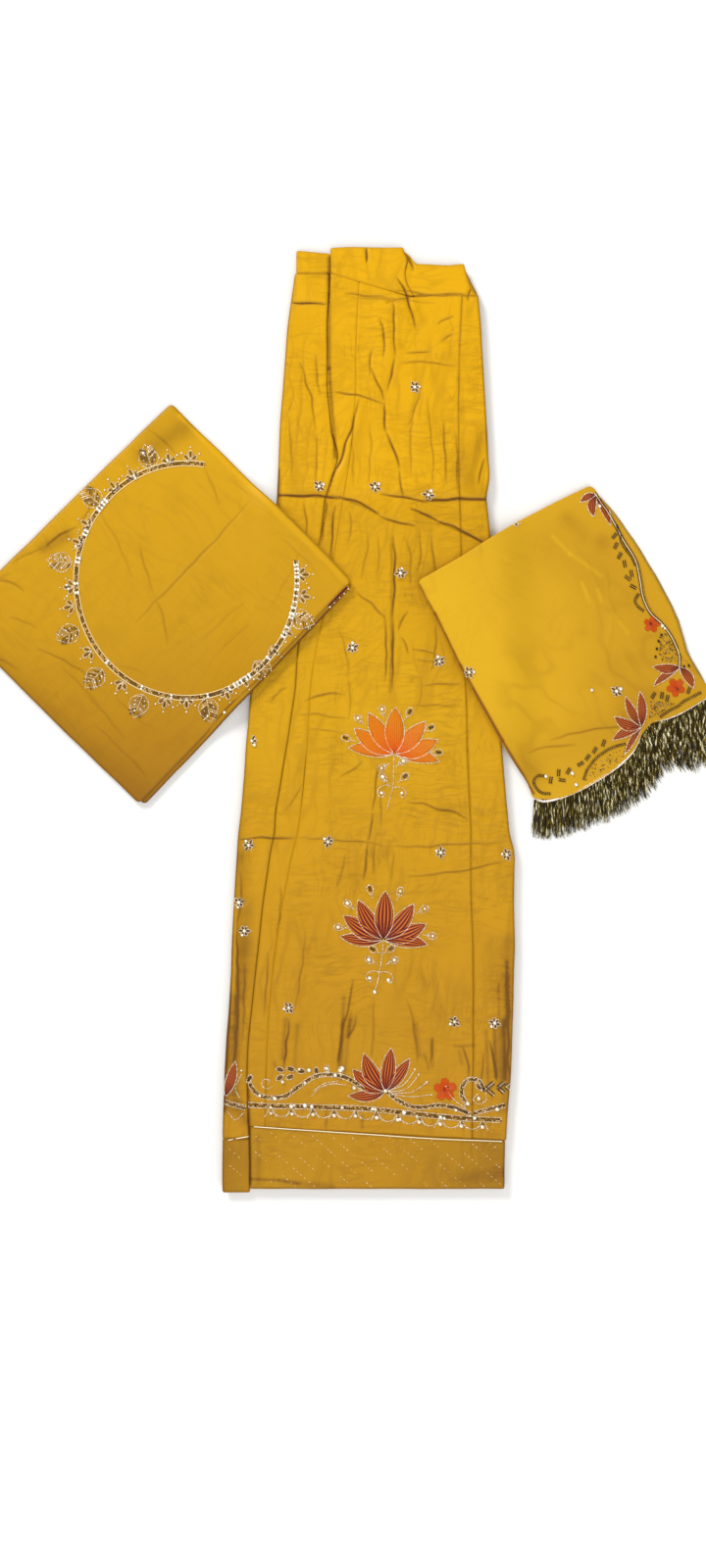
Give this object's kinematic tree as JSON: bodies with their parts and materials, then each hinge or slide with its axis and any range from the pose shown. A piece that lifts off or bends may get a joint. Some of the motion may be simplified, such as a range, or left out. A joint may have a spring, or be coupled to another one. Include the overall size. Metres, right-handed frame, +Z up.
{
  "type": "folded rajputi poshak set (skirt, blouse piece and fringed veil) laid flat",
  "caption": "Festive South Asian dress set laid flat: a long gored skirt folded lengthwise, a blouse piece folded square on its left edge and a sheer fringed veil folded on its right edge.",
  "frame": {"origin": "middle of the set's footprint, on the surface that it lies on", "axes": "+Y along the skirt towards its waist, +X across it towards the veil, +Z up from the surface"},
  "size_m": [0.83, 1.0229, 0.0223],
  "materials": {
    "satin": "soft satin with a warm sheen",
    "satin_hem": "satin with diagonal metallic stitches",
    "chiffon": "sheer matt chiffon in many layers",
    "beads": "antique gold beads and sequins",
    "metal_fringe": "metallic olive and silver strands"
  },
  "bodies": {
    "root": {"skirt_under_layers": "satin", "kali_under": "satin", "kali_left": "satin", "kali_centre": "satin", "kali_right": "satin", "waistband_left": "satin", "waistband_middle": "satin", "waistband_right": "satin", "hem_band_under": "satin_hem", "hem_band": "satin_hem", "skirt_bead_band": "beads", "skirt_bead_band_under": "beads", "blouse_under_layers": "satin", "blouse_second_fold": "satin", "blouse_front": "satin", "blouse_neck_band": "beads", "veil_under_layers": "chiffon", "veil_top": "chiffon", "veil_beaded_edge": "beads", "veil_fringe": "metal_fringe", "veil_fringe_corner": "metal_fringe"}
  },
  "joints": []
}
